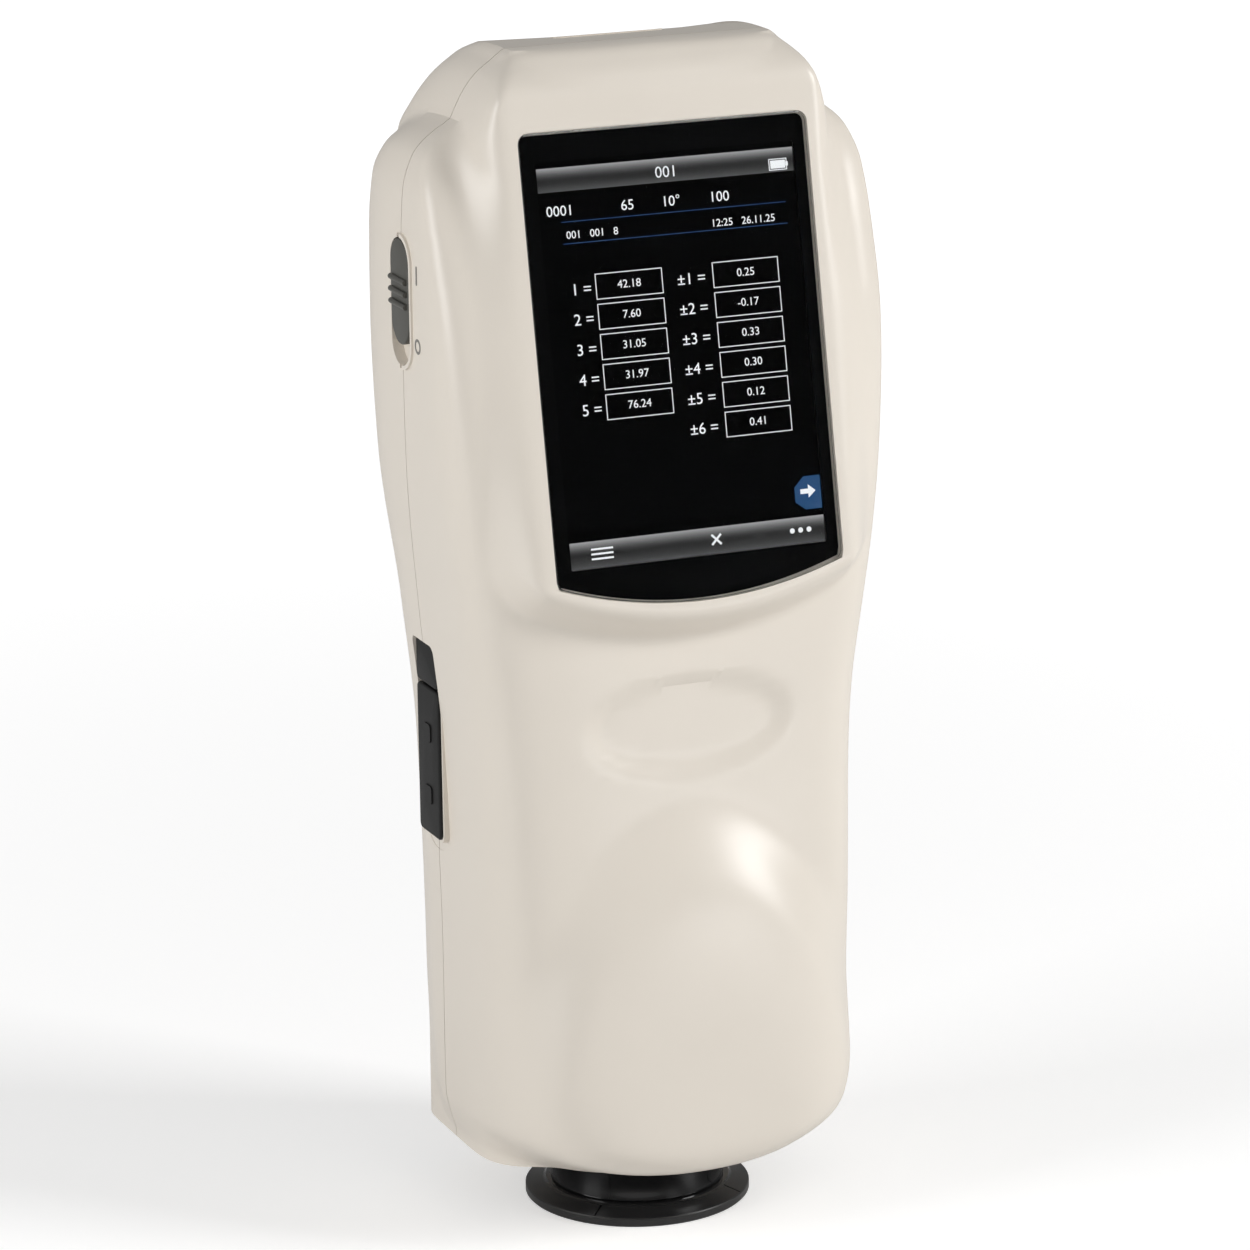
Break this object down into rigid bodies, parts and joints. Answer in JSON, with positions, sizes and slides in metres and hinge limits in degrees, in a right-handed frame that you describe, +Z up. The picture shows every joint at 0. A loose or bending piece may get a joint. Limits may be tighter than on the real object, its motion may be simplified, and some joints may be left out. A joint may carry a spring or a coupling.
{
  "type": "colour spectrophotometer",
  "caption": "Hand-held colour spectrophotometer: two-shell housing with a leaning touch display, side switch and port cover, and optics that look down through a round twist-off foot.",
  "frame": {"origin": "centre of the measuring face, on the axis of the 8 mm aperture in the foot", "axes": "+Z up the instrument along the aperture's axis, -Y the way the display faces, +X to the right of someone who looks at the display"},
  "size_m": [0.0917, 0.0772, 0.23],
  "materials": {
    "ivory_plastic": "fine satin moulding texture, warm ivory",
    "window_glass": "polished flat glass with a black border printed behind it",
    "black_foam": "thin black foam adhesive",
    "display_black": "dark panel",
    "sheet_steel": "plain pressed or turned steel",
    "screw_steel": "blackened steel",
    "turned_brass": "turned",
    "board_green": "solder mask over glass-fibre laminate",
    "black_plastic": "glossy black moulding",
    "foot_black": "black, satin on the cone and glossy at the shoulder",
    "battery_sleeve": "shrink sleeve",
    "optical_glass": "polished",
    "seal_rubber": "soft ring",
    "sphere_white": "diffuse white coating",
    "black_aluminium": "black anodised",
    "grating_mirror": "ruled reflective surface",
    "switch_grey": "dark grey satin moulding",
    "cover_rubber": "matt black rubber"
  },
  "bodies": {
    "housing": {"front_housing": "ivory_plastic", "rear_housing": "ivory_plastic", "display_window": "window_glass", "window_adhesive": "black_foam", "display_module": "display_black", "display_bracket": "sheet_steel", "board_standoffs": "turned_brass", "main_board": "board_green", "sounder": "black_plastic", "battery_pack": "battery_sleeve", "battery_tray": "black_plastic", "neck": "black_plastic", "dust_window": "optical_glass", "window_ring": "sheet_steel", "sphere_lower": "sphere_white", "sphere_upper": "sphere_white", "sphere_screws": "sheet_steel", "lamp": "display_black", "lamp_board": "board_green", "lens_tube": "black_aluminium", "objective_lens": "optical_glass", "spectrometer_body": "black_aluminium", "spectrometer_lid": "black_aluminium", "concave_grating": "grating_mirror", "sensor_board": "board_green", "slide_switch": "black_plastic", "tact_switch": "black_plastic", "key_board": "board_green", "port_cover_block": "cover_rubber", "usb_socket": "sheet_steel", "serial_socket": "black_plastic", "port_board": "board_green", "port_shroud": "black_plastic", "housing_screws": "screw_steel", "threaded_inserts": "turned_brass"},
    "power_switch": {"power_switch_knob": "switch_grey"},
    "measure_button": {"measure_key": "ivory_plastic"},
    "cover_flap": {"port_cover_flap": "cover_rubber"},
    "foot": {"aperture_foot": "foot_black", "foot_seal": "seal_rubber"}
  },
  "joints": [
    {"name": "power_switch_slide", "type": "slide", "parent": "housing", "child": "power_switch", "axis": [0, 0, 1], "range_m": [-0.0036, 0]},
    {"name": "measure_key_press", "type": "slide", "parent": "housing", "child": "measure_button", "axis": [-1, 0, 0], "range_m": [0, 0.0007], "stiffness_N_per_m": 1000},
    {"name": "port_cover_hinge", "type": "hinge", "parent": "housing", "child": "cover_flap", "pos_m": [-0.0394, 0.0064, 0.1058], "axis": [0, 1, 0], "range_deg": [0, 100]},
    {"name": "foot_twist", "type": "hinge", "parent": "housing", "child": "foot", "pos_m": [0, 0, 0], "axis": [0, 0, 1], "range_deg": [0, 40]}
  ]
}
